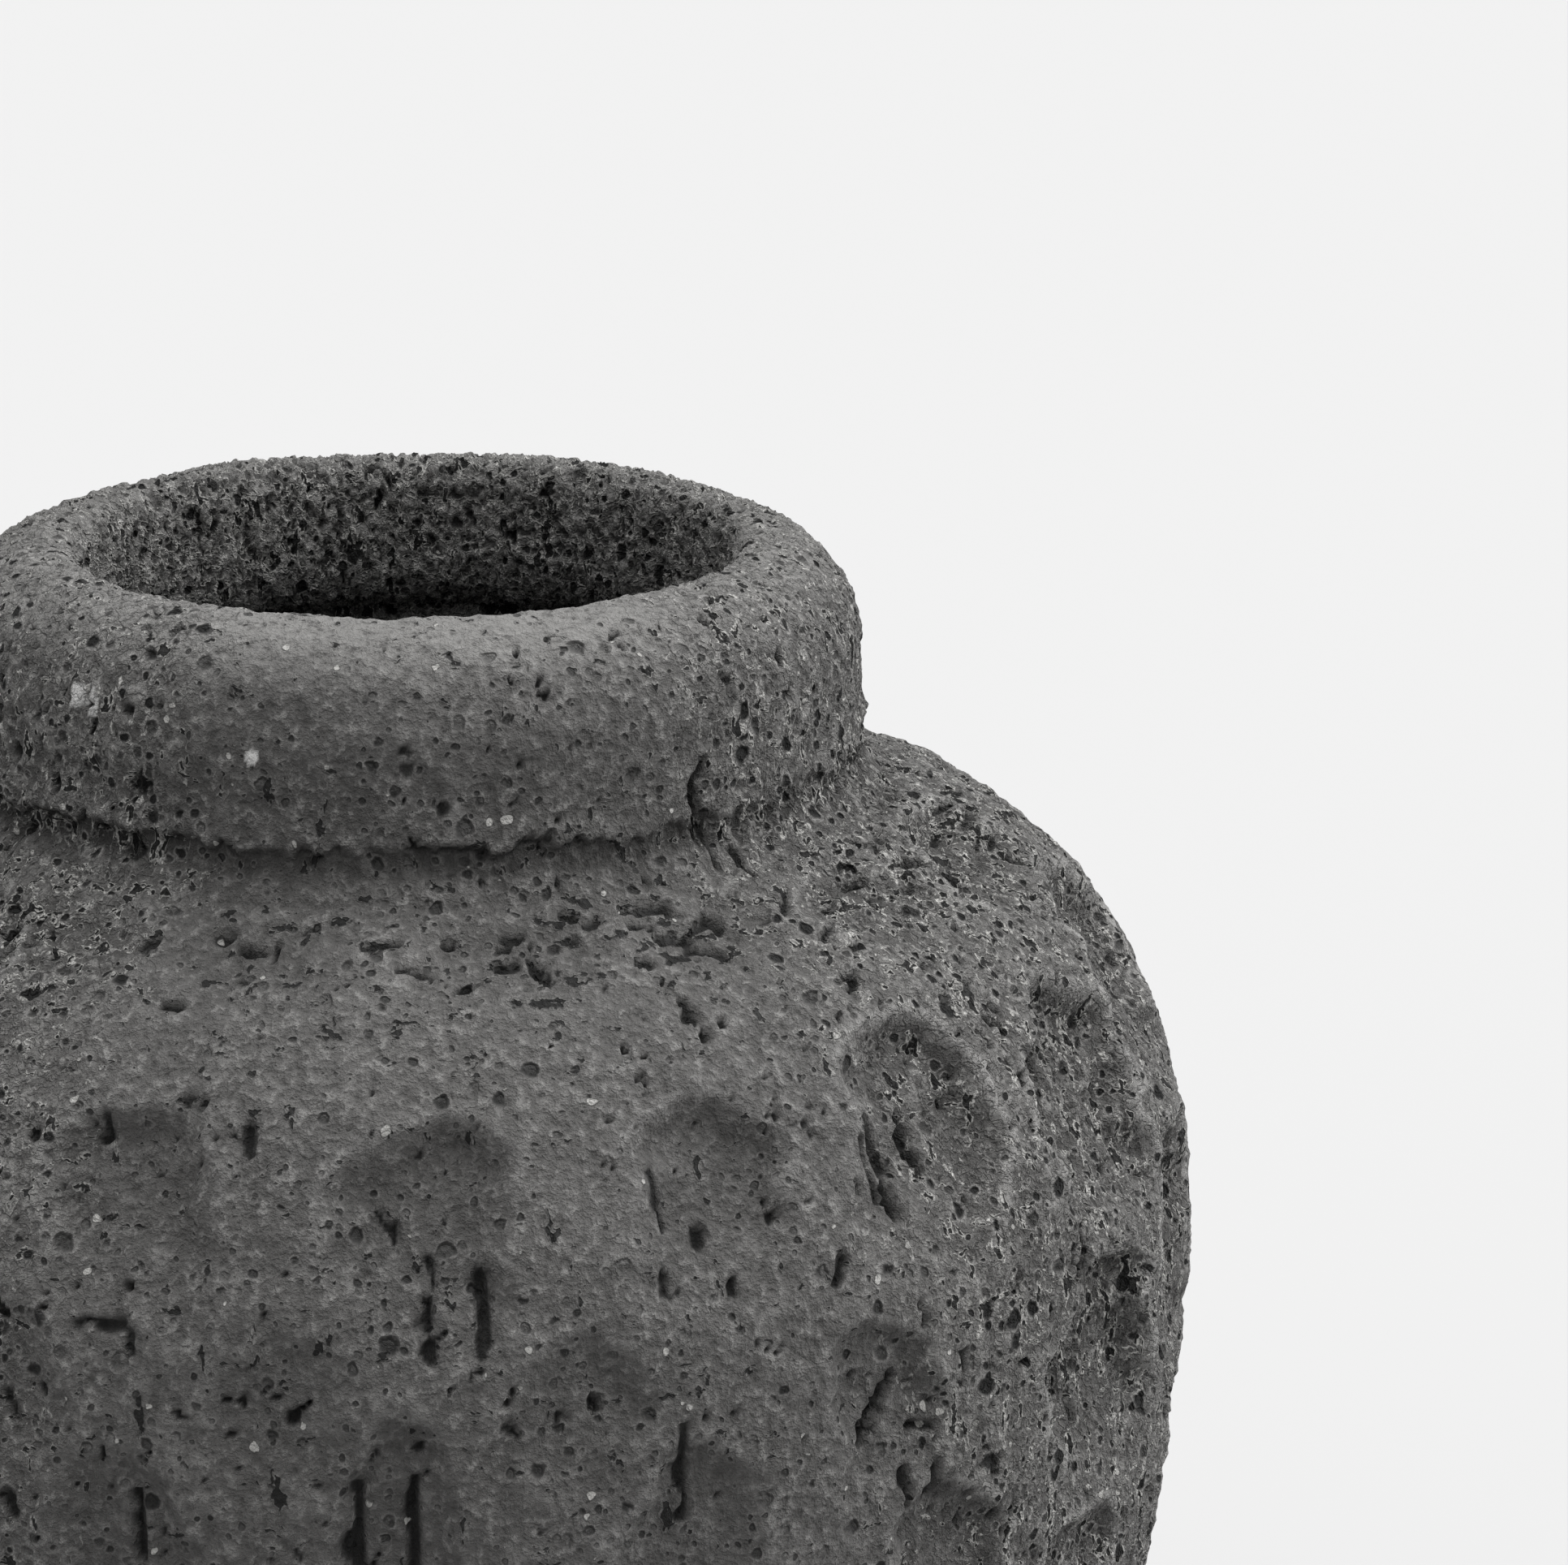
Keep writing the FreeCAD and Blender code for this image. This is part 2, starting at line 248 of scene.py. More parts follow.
# where each vertex lies: which section, its outward direction and its reach along the outside
def readSurface(piece, sections):
    places = readPlaces(piece)
    across, turn = np.hypot(places[:, 0], places[:, 1]), np.arctan2(places[:, 1], places[:, 0])
    count = len(places)
    best = np.full(count, 1.0)
    out = np.zeros((count, 2))
    surface = {"across": across, "turn": turn, "up": places[:, 2], "places": places,
               "face": np.zeros(count, int), "reach": np.zeros(count)}
    onSeam, onSkin = np.zeros(count, bool), np.zeros(count, bool)
    for section in sections:
        face = faceNames.index(section["face"])
        if "centre" in section:
            side = np.stack([across - section["centre"][0], places[:, 2] - section["centre"][1]], 1)
            length = np.maximum(np.hypot(*side.T), 1e-9)
            tilt = np.arctan2(side[:, 1], side[:, 0]) % (2 * math.pi)
            low, high = sorted((section["from"], section["to"]))
            middle = (low + high) / 2
            tilt = middle + (tilt - middle + math.pi) % (2 * math.pi) - math.pi
            past = np.maximum(np.abs(tilt - middle) - (high - low) / 2, 0)
            off = np.abs(length - section["radius"]) + past * length
            sign = -1.0 if section["face"] == "inside" and section["to"] < section["from"] else 1.0
            normal = sign * side / length[:, None]
            along = section["reach"] + section["radius"] * (tilt - section["from"])
        else:
            start, end = np.array(section["start"]), np.array(section["end"])
            spot = np.stack([across, places[:, 2]], 1) - start
            length = np.linalg.norm(end - start)
            along = np.clip(spot @ (end - start) / length, 0, length)
            off = np.linalg.norm(spot - along[:, None] * (end - start) / length, axis=1)
            normal = np.broadcast_to(np.array(section["normal"]), (count, 2))
            along = along + section["reach"]
        touches = onSeam if section["face"] == "seam" else onSkin
        touches |= off < closeBy["touching"]
        weight = off + (closeBy["skinFirst"] if section["face"] == "seam" else 0.0)
        nearer = weight < best - closeBy["tie"]
        best[nearer] = weight[nearer]
        out[nearer] = normal[nearer]
        surface["face"][nearer] = face
        surface["reach"][nearer] = along[nearer]
    surface["corner"] = onSeam & onSkin
    surface["outward"] = np.stack([out[:, 0] * np.cos(turn), out[:, 0] * np.sin(turn), out[:, 1]], 1)
    return surface


# finger hollows: angle about the axis in degrees (-90 is the front), then millimetres
pressed = {
    "shoulder": (  # angle, height, halfWidth, above, below, depth, lean
        (-126, 341, 20, 13, 20, 2.6, 0),
        (-104, 341, 21, 12, 20, 1.8, 6),
        (-80, 341, 22, 12, 20, 2.0, -4),
        (-60, 340, 19, 12, 18, 2.2, 0),
        (-38, 338, 19, 15, 20, 2.6, 8),
        (-17, 336, 21, 16, 20, 5.2, 10),
        (10, 333, 22, 15, 20, 2.6, 0),
    ),
    "upper": (
        (-132, 306, 19, 17, 34, 4.6, 0),
        (-111, 305, 20, 18, 36, 5.4, 4),
        (-89.6, 304, 20, 17, 40, 6.0, -2),
        (-68.7, 304, 18, 17, 36, 5.4, 3),
        (-48.5, 307, 21, 20, 42, 6.8, -22),
        (-28.5, 293, 25, 29, 34, 8.6, -12),
        (-7.5, 304, 32, 30, 40, 8.0, -10),
        (19, 301, 20, 19, 30, 3.2, 0),
    ),
    "belly": (
        (-120, 266, 20, 16, 28, 2.2, 0),
        (-99, 266, 17, 14, 30, 1.4, 8),
        (-80, 262, 18, 16, 32, 1.8, -5),
        (-57.5, 256, 15, 16, 34, 3.8, 10),
        (-32.5, 240, 25, 25, 40, 8.6, 2),
        (-13.5, 244, 31, 34, 44, 7.0, 0),
        (15, 250, 19, 24, 34, 2.6, 0),
    ),
    "lower": (
        (-110, 236, 16, 20, 34, 2.6, 6),
        (-91.5, 240, 14, 24, 40, 3.4, 3),
        (-72, 232, 17, 22, 34, 2.8, -3),
        (-52, 214, 18, 20, 34, 4.2, 3),
        (-10, 204, 20, 16, 34, 4.4, 0),
        (9, 212, 19, 18, 34, 3.6, 0),
    ),
}
pressedRows = {  # the rest: height, how many a turn, halfWidth, above, below, depth
    "shoulder": (341, 17, 21, 13, 24, 3.8),
    "upper": (308, 17, 23, 20, 34, 5.0),
    "belly": (262, 18, 19, 20, 33, 4.0),
    "lower": (228, 18, 20, 19, 34, 4.2),
    "hip": (188, 17, 21, 20, 31, 4.4),
    "shin": (146, 16, 21, 20, 29, 4.2),
    "ankle": (104, 15, 20, 19, 27, 4.0),
    "footing": (60, 14, 19, 17, 25, 3.4),
}
gouges = (  # angle, height, halfWidth, halfLength, depth, lean
    (-54.2, 298.5, 1.2, 10.5, 3.8, 3),
    (-55.6, 300.5, 0.9, 5, 3.0, 4),
    (-50.6, 299.8, 1.3, 5.2, 3.8, 11),
    (-30.3, 307.5, 1.3, 5, 3.4, -27),
    (-89.5, 283, 1.9, 2.4, 2.6, 0),
    (-89.2, 291, 1.5, 2.6, 1.8, 5),
    (-89.3, 276, 2.0, 1.4, 2.4, 0),
    (-85.6, 284, 1.6, 7, 2.6, 2),
    (-85.9, 277, 1.6, 2, 2.2, 0),
    (-72.5, 301, 1.3, 6, 1.8, 4),
    (-94.3, 240, 1.7, 9, 1.5, 0),
    (-90.6, 240, 1.7, 10, 2.4, 0),
    (-109, 238, 1.6, 7, 1.8, 4),
    (-72.5, 247, 1.2, 10, 1.6, 0),
    (-57.0, 253.4, 1.2, 5, 3.4, -38),
    (-58.6, 247.5, 1.1, 3, 2.6, -25),
    (-54.0, 245, 1.5, 2.4, 2.4, 80),
    (-55.5, 233, 1.1, 4.6, 2.4, 6),
    (-53.0, 233, 1.3, 3.4, 2.6, 4),
    (-35.6, 247, 1.7, 4.4, 3.2, 4),
    (-36.2, 238, 1.6, 3.2, 3.0, 0),
    (-34.6, 231, 1.3, 4.0, 2.8, 0),
    (-32.8, 243, 1.1, 3.2, 2.4, 6),
    (-64.3, 344.5, 2.1, 4.2, 2.8, 88),
    (-63.0, 340.6, 2.0, 2.6, 2.2, 80),
    (-57.5, 341.6, 1.9, 1.6, 2.6, 20),
    (-60.6, 338.0, 1.7, 3.4, 1.8, 60),
    (-78.0, 338.5, 1.6, 3.6, 2.2, 15),
    (-104, 341.5, 1.4, 2.4, 2.0, 0),
    (-22.3, 337.7, 1.4, 6, 3.2, 0),
    (-26.4, 337.4, 1.2, 6, 2.8, 26),
    (-48.5, 341.5, 1.2, 4, 1.4, -40),
    (-111.8, 279, 1.4, 5, 1.8, 96),
    (-36.0, 268, 1.8, 4, 3.0, 4),
    (-36.6, 262, 2.0, 3, 2.8, 0),
    (-35.4, 256, 1.7, 3.4, 2.6, 0),
    (-53.9, 358.5, 1.5, 5.5, 2.6, 6),
    (-53.4, 366.5, 1.6, 3.0, 1.8, -30),
    (-52.6, 352.0, 1.4, 3.0, 2.2, -8),
)
chance = np.random.default_rng(7)


def allPresses():
    presses = [entry for row in pressed.values() for entry in row]
    for row, (height, count, *shape) in pressedRows.items():
        taken = [entry[0] for entry in pressed.get(row, ())]
        first = chance.uniform(0, 360 / count)
        for number in range(count):
            angle = (first + number * 360 / count + chance.normal(0, 2.0) + 180) % 360 - 180
            jitter = chance.normal(0, 1, 6)
            if taken and min(taken) - 9 < angle < max(taken) + 9:
                continue
            halfWidth, above, below, depth = shape
            presses.append((
                angle,
                height + 4 * jitter[0],
                halfWidth + 1.8 * jitter[1],
                above + 1.5 * jitter[2],
                below + 3 * jitter[3],
                max(1.6, depth + 0.7 * jitter[4]),
                5 * jitter[5],
            ))
    return presses


scattered = (  # how many, middle height, spread of heights, share upright, mean length
    (90, None, None, 0.7, 1.2),
    (110, 340, 6, 0.15, 1.1),
    (70, 296, 13, 0.9, 1.1),
    (45, 232, 14, 0.9, 1.6),
)


def allGouges():
    found = list(gouges)
    for count, middle, spread, uprightShare, length in scattered:
        for _ in range(count):
            angle = chance.uniform(0, 360)
            height = chance.uniform(24, 346) if middle is None else min(347, chance.normal(middle, spread))
            size, upright = chance.uniform(0.45, 0.95), chance.random() < uprightShare
            lean = chance.normal(0, 12) if upright else chance.normal(90, 25)
            found.append((angle, height, 1.7 * size, 0.6 + chance.exponential(length), 2.8 * size, lean))
    return found


def smooth(value, low, high):
    share = np.clip((value - low) / (high - low), 0, 1)
    return share * share * (3 - 2 * share)


def localPlace(surface, angle, height, lean, near):
    turn = (surface["turn"] - math.radians(angle) + math.pi) % (2 * math.pi) - math.pi
    spread = turn * surface["across"]
    rise = surface["reach"] - reachAt(height / 1000)
    chosen = np.flatnonzero((np.abs(spread) < near) & (np.abs(rise) < near) & (surface["face"] == 0))
    spread, rise = spread[chosen], rise[chosen]
    aside, along = math.sin(math.radians(lean)), math.cos(math.radians(lean))
    return chosen, spread * along + rise * aside, rise * along - spread * aside


# the form isn't quite true: height, then how far it stands out, in millimetres; facings and spreads in degrees
figure = {
    "side": ((0, 0), (150, 0), (235, -0.9), (265, 0), (300, 1.8), (335, 2.4), (346, 0.9), (350, 0)),
    "lip": ((350, 0), (358, -1.0), (366, -1.8), (384, -1.8), (396, -0.6), (400, 0)),
    "neck": ((334, 0), (346, -3.0), (353, -3.0), (357, 0)),
    "sideFacing": 5,
    "sideSpread": 80,
    "neckFacing": 35,
    "neckSpread": 75,
}


# 1 where the surface faces that way, down to 0 at the spread on either side
def facedTo(surface, facing, spread):
    angle = (np.degrees(surface["turn"]) - facing + 180) % 360 - 180
    return np.cos(np.radians(np.clip(angle, -spread, spread) * 90 / spread)) ** 2


def outOfTrue(surface):
    faced = facedTo(surface, figure["sideFacing"], figure["sideSpread"])
    neckFaced = facedTo(surface, figure["neckFacing"], figure["neckSpread"])
    height = surface["up"] * 1000
    side, lipOff, neckOff = (np.interp(height, *zip(*figure[key])) for key in ("side", "lip", "neck"))
    return (side * faced + lipOff + neckOff * neckFaced) / 1000 * (surface["face"] == 0)


# where the clay is torn and open: degrees either side of the smoothest line, at which it starts and is full
coarse = {"smoothest": -85, "right": (20, 50), "left": (24, 44), "back": (110, 150),
          "leftShare": 0.8, "backShare": 0.5}


def coarseness(surface):
    away = (np.degrees(surface["turn"]) - coarse["smoothest"] + 180) % 360 - 180
    left = coarse["leftShare"] * smooth(-away, *coarse["left"])
    back = coarse["backShare"] * smooth(-away, *coarse["back"])
    return np.clip(smooth(away, *coarse["right"]) + left + back, 0, 1)


# a finger hollow has an arched, crisp top and fades out downwards; lengths in metres
pressing = {
    "near": 0.07,
    "waves": ((150, 0.12), (410, 0.06), (260, 0.07)),  # how often, how strong: two down the sides, one on top
    "wall": 0.54,  # share of the half width that the sloping side takes
    "deepWall": 0.16,  # that much less where a hollow is deep
    "deep": (6, 8),
    "topWall": 0.26,
    "rimHeight": 0.0006,
    "rimWidth": 0.08,
    "edgeWidth": 0.06,
    "neckFade": (0.016, 0.004),
    "meeting": 0.0007,
}


def pressHollows(surface, presses):
    depth, second, hollow, ridge = (np.zeros(len(surface["turn"])) for _ in range(4))
    fadeStart, fadeEnd = pressing["neckFade"]
    neckFade = 1 - smooth(surface["reach"], neckReach - fadeStart, neckReach - fadeEnd)
    (waves, wave), (ripples, ripple), (topWaves, topWave) = pressing["waves"]
    for index, (angle, height, halfWidth, above, below, deep, lean) in enumerate(presses):
        chosen, spread, rise = localPlace(surface, angle, height, lean, pressing["near"])
        if not len(chosen):
            continue
        bent = np.sin(rise * waves + index * 1.7) * wave + np.sin(rise * ripples + index * 2.9) * ripple
        side = spread / (halfWidth / 1000) + bent
        over = np.clip(rise / (above / 1000), 0, None) + topWave * np.sin(spread * topWaves + index)
        inside = 1 - np.hypot(side, over)  # 1 in the middle, 0 at the edge
        down = 1 - smooth(-rise, 0.0, below / 1000)
        steepness = pressing["wall"] - pressing["deepWall"] * smooth(deep, *pressing["deep"])
        wall = smooth(inside, -0.02, steepness - pressing["topWall"] * np.clip(over, 0, 1)) * neckFade[chosen]
        amount = deep / 1000 * wall * down
        rim = np.exp(-(((inside + 0.07) / pressing["rimWidth"]) ** 2)) * down
        rim = rim * pressing["rimHeight"] * min(1, deep / 4)
        second[chosen] = np.maximum(second[chosen], np.minimum(depth[chosen], amount))
        depth[chosen] = np.maximum(depth[chosen], amount) - np.where(amount < 0.0002, rim, 0)
        hollow[chosen] = np.maximum(hollow[chosen], wall * down)
        edge = np.exp(-(((inside - 0.01) / pressing["edgeWidth"]) ** 2)) * down * neckFade[chosen]
        ridge[chosen] = np.maximum(ridge[chosen], edge * min(1, deep / 5) * (rise > -below / 1000))
    between = np.exp(-(((depth - second) / pressing["meeting"]) ** 2)) * smooth(second, 0.0002, 0.0008)
    return depth, hollow, np.maximum(ridge * (1 - smooth(hollow, 0.2, 0.5)), between)


def raggedness(spread, rise, fine, tall, seed):
    return np.array([mathNoise.noise(Vector((a * fine, b * tall, seed))) for a, b in zip(spread, rise)])


# pale chips in the lip: angle, height, half width, half height
chips = (
    (-133.4, 384.5, 1.9, 2.8),
    (-130.9, 383.4, 1.2, 3.0),
    (-108.6, 376, 1.4, 1.6),
)


def paleChips(surface):
    chip = np.zeros(len(surface["turn"]))
    for angle, height, halfWidth, halfHeight in chips:
        chosen, spread, rise = localPlace(surface, angle, height, 0, 0.008)
        if len(chosen):
            off = np.hypot(spread * 1000 / halfWidth, rise * 1000 / halfHeight)
            off = off + 0.5 * raggedness(spread, rise, 500, 500, angle)
            chip[chosen] = np.maximum(chip[chosen], 1 - smooth(off, 0.95, 1.15))
    return chip


tearing = {"near": 0.016, "listed": 0.7, "drawn": 1.5, "wander": 0.0009, "burr": 0.0003, "burrAt": 1.35}


def cutGouges(surface, marks):
    depth, pit = np.zeros(len(surface["turn"])), np.zeros(len(surface["turn"]))
    for index, (angle, height, halfWidth, halfLength, deep, lean) in enumerate(marks):
        chosen, spread, rise = localPlace(surface, angle, height, lean, tearing["near"])
        if not len(chosen):
            continue
        ragged = raggedness(spread, rise, 330, 240, index * 3.7)
        torn = tearing["listed"] if index < len(gouges) else tearing["drawn"]
        width = halfWidth / 1000 * (0.94 + torn * ragged).clip(0.05, 1.5)
        ends = np.clip(np.abs(rise) - halfLength / 1000, 0, None)
        off = np.hypot(spread + tearing["wander"] * ragged, ends) / width
        bite = np.clip(1 - off**2, 0, 1) ** 0.7
        burr = tearing["burr"] * np.exp(-(((off - tearing["burrAt"]) / 0.3) ** 2)) * (width > 0.0007)
        depth[chosen] = np.maximum(depth[chosen], deep / 1000 * bite) - np.where(bite <= 0, burr, 0)
        pit[chosen] = np.maximum(pit[chosen], bite)
    return depth, pit


# the grit of the skin; sizes, depths and heights in metres
grit = {
    "bend": (0.005, 0.005),  # size, how far
    "patches": 0.05,
    "bigPores": {"size": 0.0080, "least": 0.02, "most": 0.38, "fall": 1.6, "depth": 0.0018, "rim": 0.0002},
    "smallPores": {"size": 0.0042, "least": 0.03, "most": 0.46, "fall": 1.2, "depth": 0.0014, "rim": 0.00012},
    "longPores": {"size": 0.0048, "least": 0.02, "most": 0.5, "fall": 1.1, "depth": 0.0020, "rim": 0.0003},
    "lumps": (0.007, 0.0028),  # size, height, and so on down
    "web": (0.0042, 0.0010),
    "wobble": (0.09, 0.006),
    "torn": (0.005, 0.0016),
    "drag": (0.0035, 0.0022, 0.0018),  # size, height in a hollow, height where coarse
}


# one kind of pore: how deep at each place, and its rim
def pores(tree, spot, kind, patch):
    cell = cells(tree, spot, kind["size"])
    dice = addNode(tree, "ShaderNodeSeparateXYZ", {0: cell.outputs["Color"]})
    spread = times(tree, maths(tree, "POWER", dice.outputs[0], kind["fall"]), kind["most"] - kind["least"])
    share = plus(tree, times(tree, patch, 0.8), 0.2)
    radius = times(tree, plus(tree, spread, kind["least"]), share)
    inside = maths(tree, "DIVIDE", cell.outputs["Distance"], radius)
    deep = fade(tree, dice.outputs[1], 0.35, 0.85, 0.3, 1.0)
    pore = times(tree, fade(tree, inside, 0.45, 1.0, 1.0, 0.0), deep)
    return pore, fade(tree, inside, 1.0, 1.6, 1.0, 0.0)


# pores, lumps and drag lines, as a node group that moves the skin along its outward direction
def claySkin():
    tree = bpy.data.node_groups.new("claySkin", "GeometryNodeTree")
    tree.interface.new_socket(name="Geometry", in_out="INPUT", socket_type="NodeSocketGeometry")
    tree.interface.new_socket(name="Geometry", in_out="OUTPUT", socket_type="NodeSocketGeometry")
    start, end = tree.nodes.new("NodeGroupInput"), tree.nodes.new("NodeGroupOutput")
    place = tree.nodes.new("GeometryNodeInputPosition").outputs[0]

    def stored(name, kind="FLOAT"):
        node = addNode(tree, "GeometryNodeInputNamedAttribute", {"Name": name}, data_type=kind)
        return node.outputs["Attribute"]

    hollow, inner, grip, gouge = stored("hollow"), stored("inner"), stored("grip"), stored("gouge")
    openness = most(tree, stored("coarse"), inner)
    warped = bentPlace(tree, place, *grit["bend"])
    tall = vectorMaths(tree, "MULTIPLY", warped, (1.0, 1.0, 0.5))
    patch = fade(tree, noise(tree, place, grit["patches"], 3, 0.6).outputs[0], 0.40, 0.60)
    patch = times(tree, plus(tree, patch, times(tree, hollow, 0.25)), 0.75)
    patch = plus(tree, patch, times(tree, openness, 0.5), True)

    big, bigRim = pores(tree, warped, grit["bigPores"], patch)
    small, smallRim = pores(tree, warped, grit["smallPores"], patch)
    long, longRim = (times(tree, field, openness) for field in pores(tree, tall, grit["longPores"], patch))

    lumps = less(tree, noise(tree, place, grit["lumps"][0], 4, 0.55).outputs[0], 0.5)
    web = maths(tree, "ABSOLUTE", less(tree, noise(tree, warped, grit["web"][0], 2).outputs[0], 0.5))
    webShare = plus(tree, times(tree, inner, 0.9), times(tree, openness, 0.35))
    web = times(tree, fade(tree, web, 0.0, 0.10, 1.0, 0.0), webShare)
    wobble = less(tree, noise(tree, place, grit["wobble"][0], 1).outputs[0], 0.5)
    torn = plus(tree, noise(tree, warped, grit["torn"][0], 2, 0.5).outputs[0], times(tree, patch, 0.11))
    torn = fade(tree, torn, 0.745, 0.80)
    dragSize, hollowDrag, coarseDrag = grit["drag"]
    squashed = vectorMaths(tree, "MULTIPLY", place, (1.0, 1.0, 0.09))
    drag = less(tree, noise(tree, squashed, dragSize, 2, 0.5).outputs[0], 0.5)
    dragged = plus(tree, times(tree, hollow, hollowDrag), times(tree, stored("coarse"), coarseDrag))

    total = times(tree, drag, dragged)
    kinds = [grit[name] for name in ("bigPores", "smallPores", "longPores")]
    for kind, pore, rim in zip(kinds, (big, small, long), (bigRim, smallRim, longRim)):
        total = plus(tree, total, times(tree, pore, -kind["depth"]))
        total = plus(tree, total, times(tree, rim, kind["rim"]))
    total = less(tree, total, times(tree, torn, grit["torn"][1]))
    for name, field in (("lumps", lumps), ("web", web), ("wobble", wobble)):
        total = plus(tree, total, times(tree, field, grit[name][1]))
    offset = scaled(tree, stored("outward", "FLOAT_VECTOR"), times(tree, total, grip))

    pit = most(tree, most(tree, big, times(tree, small, 0.85)), gouge)
    pit = most(tree, most(tree, pit, long), torn)
    rims = most(tree, most(tree, bigRim, smallRim), longRim)
    crest = plus(tree, times(tree, lumps, 1.4), times(tree, rims, 0.2))
    crest = plus(tree, crest, times(tree, web, 0.8))
    geometry = start.outputs[0]
    for name, field in (("pit", pit), ("crest", crest)):
        values = {"Geometry": geometry, "Name": name, "Value": field}
        node = addNode(tree, "GeometryNodeStoreNamedAttribute", values, data_type="FLOAT", domain="POINT")
        geometry = node.outputs[0]
    moved = addNode(tree, "GeometryNodeSetPosition", {"Geometry": geometry, "Offset": offset})
    tree.links.new(moved.outputs[0], end.inputs[0])
    return tree


skin = claySkin()
presses, marks = allPresses(), allGouges()
# the far side of the rim is torn like the inside, and painted as dark as it
innerRim = {"share": 0.85, "back": (-0.01, 0.05), "height": (0.386, 0.398)}


def finishSkin(piece, sections, extra=None):
    surface = readSurface(piece, sections)
    hollowDepth, hollow, ridge = pressHollows(surface, presses)
    gougeDepth, gouge = cutGouges(surface, marks)
    moves = outOfTrue(surface) - hollowDepth - gougeDepth
    grip = np.where(surface["face"] <= 1, 1.0, 0.0)
    places = surface["places"] + surface["outward"] * (moves * grip)[:, None]
    if extra:
        places = places + extra(surface)
        # the painted shadow line under the ledge joins the gouge mask, so it is painted near black
        gouge = np.maximum(gouge, surface["crack"])
        # the painted shade below the ledge joins the hollow mask
        hollow = np.maximum(hollow, surface["shade"])
    piece.data.vertices.foreach_set("co", places.astype(np.float32).ravel())
    farRim = smooth(surface["places"][:, 1], *innerRim["back"]) * smooth(surface["up"], *innerRim["height"])
    farRim = farRim * innerRim["share"]
    storeNumbers(piece, "outward", surface["outward"], "FLOAT_VECTOR")
    layers = {"grip": grip, "hollow": hollow, "gouge": gouge, "ridge": ridge, "coarse": coarseness(surface),
              "inner": np.where(surface["face"] == 1, 1.0, farRim), "chip": paleChips(surface)}
    for name, numbers in layers.items():
        storeNumbers(piece, name, numbers)
    markSeams(piece, surface)
    modifier = piece.modifiers.new("claySkin", "NODES")
    modifier.node_group = skin
    applyModifier(piece, modifier)
    for name in ("outward", "grip"):
        piece.data.attributes.remove(piece.data.attributes[name])


def markSeams(piece, surface):
    ends = np.empty(len(piece.data.edges) * 2, np.int32)
    piece.data.edges.foreach_get("vertices", ends)
    ends = ends.reshape(-1, 2)
    touchesSeam = surface["corner"][ends].all(axis=1)
    sharp = piece.data.attributes.new("sharp_edge", "BOOLEAN", "EDGE")
    sharp.data.foreach_set("value", touchesSeam)


# the clay's colours, also used for painted highlights and painted shade
stoneware = {
    "black": (0.012, 0.012, 0.0115, 1),
    "dark": (0.075, 0.073, 0.0705, 1),
    "middle": (0.175, 0.171, 0.166, 1),
    "pale": (0.42, 0.413, 0.402, 1),
    # pale grey for the painted highlight on the ridges between hollows
    "ridgeHighlight": (0.52, 0.512, 0.5, 1),
    "speck": (0.8, 0.79, 0.76, 1),
    "chip": (0.97, 0.965, 0.95, 1),
}


def mix(tree, share, first, second):
    node = addNode(tree, "ShaderNodeMix", data_type="RGBA")
    for index, value in ((0, share), (6, first), (7, second)):
        if isinstance(value, bpy.types.NodeSocket):
            tree.links.new(value, node.inputs[index])
        else:
            node.inputs[index].default_value = value
    return node.outputs[2]


# sizes in metres; heights are above the floor
finish = {
    "bend": (0.003, 0.0022),
    "clouds": 0.04,
    "grain": 0.0024,
    "patches": 0.03,
    "wideCraters": (0.0058, 0.42, 1.3),  # size of a cell, the widest one's share of it, how rare wide ones are
    "tightCraters": (0.0029, 0.46, 1.0),
    "flatHoles": (0.0062, 2.1),  # size, how much flatter than wide
    "tallHoles": (0.0044, 0.42),
    "veins": 0.0034,
    "specks": (0.0065, 0.17),
    "tornBand": (0.322, 0.334, 0.345, 0.352),
    # painted shade round the neck under the lip's overhang: where it starts, is full, fades and ends
    "neckShadeBand": (0.336, 0.354, 0.362, 0.386),
    # heights of the painted highlight on the lip's top
    "rimHighlightBand": (0.388, 0.3995),
    "harshness": 0.65,
    "bump": (0.0032, 0.0048),  # where smooth, where rough
    "roughness": (0.9, 0.5),
    "gloss": 0.45,
}


# round craters: how deep at each place, and their pale edge
def craters(tree, spot, patches, size, widest, fall):
    cell = cells(tree, spot, size)
    dice = addNode(tree, "ShaderNodeSeparateColor", {0: cell.outputs["Color"]})
    radius = times(tree, maths(tree, "POWER", dice.outputs[0], fall), widest)
    radius = plus(tree, times(tree, radius, patches), 0.001)
    apart = maths(tree, "DIVIDE", cell.outputs["Distance"], radius)
    deep = fade(tree, dice.outputs[1], 0.3, 0.85, 0.4, 1.0)
    hole = times(tree, fade(tree, apart, 0.55, 1.0, 1.0, 0.0), fade(tree, radius, 0.05, 0.14))
    edge = times(tree, fade(tree, apart, 0.95, 1.15), fade(tree, apart, 1.2, 1.6, 1.0, 0.0))
    return times(tree, hole, deep), times(tree, edge, fade(tree, radius, 0.08, 0.16))


def raggedHoles(tree, spot, gain, size, flatter):
    squashed = vectorMaths(tree, "MULTIPLY", spot, (1.0, 1.0, flatter))
    value = plus(tree, noise(tree, squashed, size, 3, 0.62).outputs[0], gain)
    hole = fade(tree, value, 0.685, 0.71)
    return hole, less(tree, fade(tree, value, 0.645, 0.685), hole)


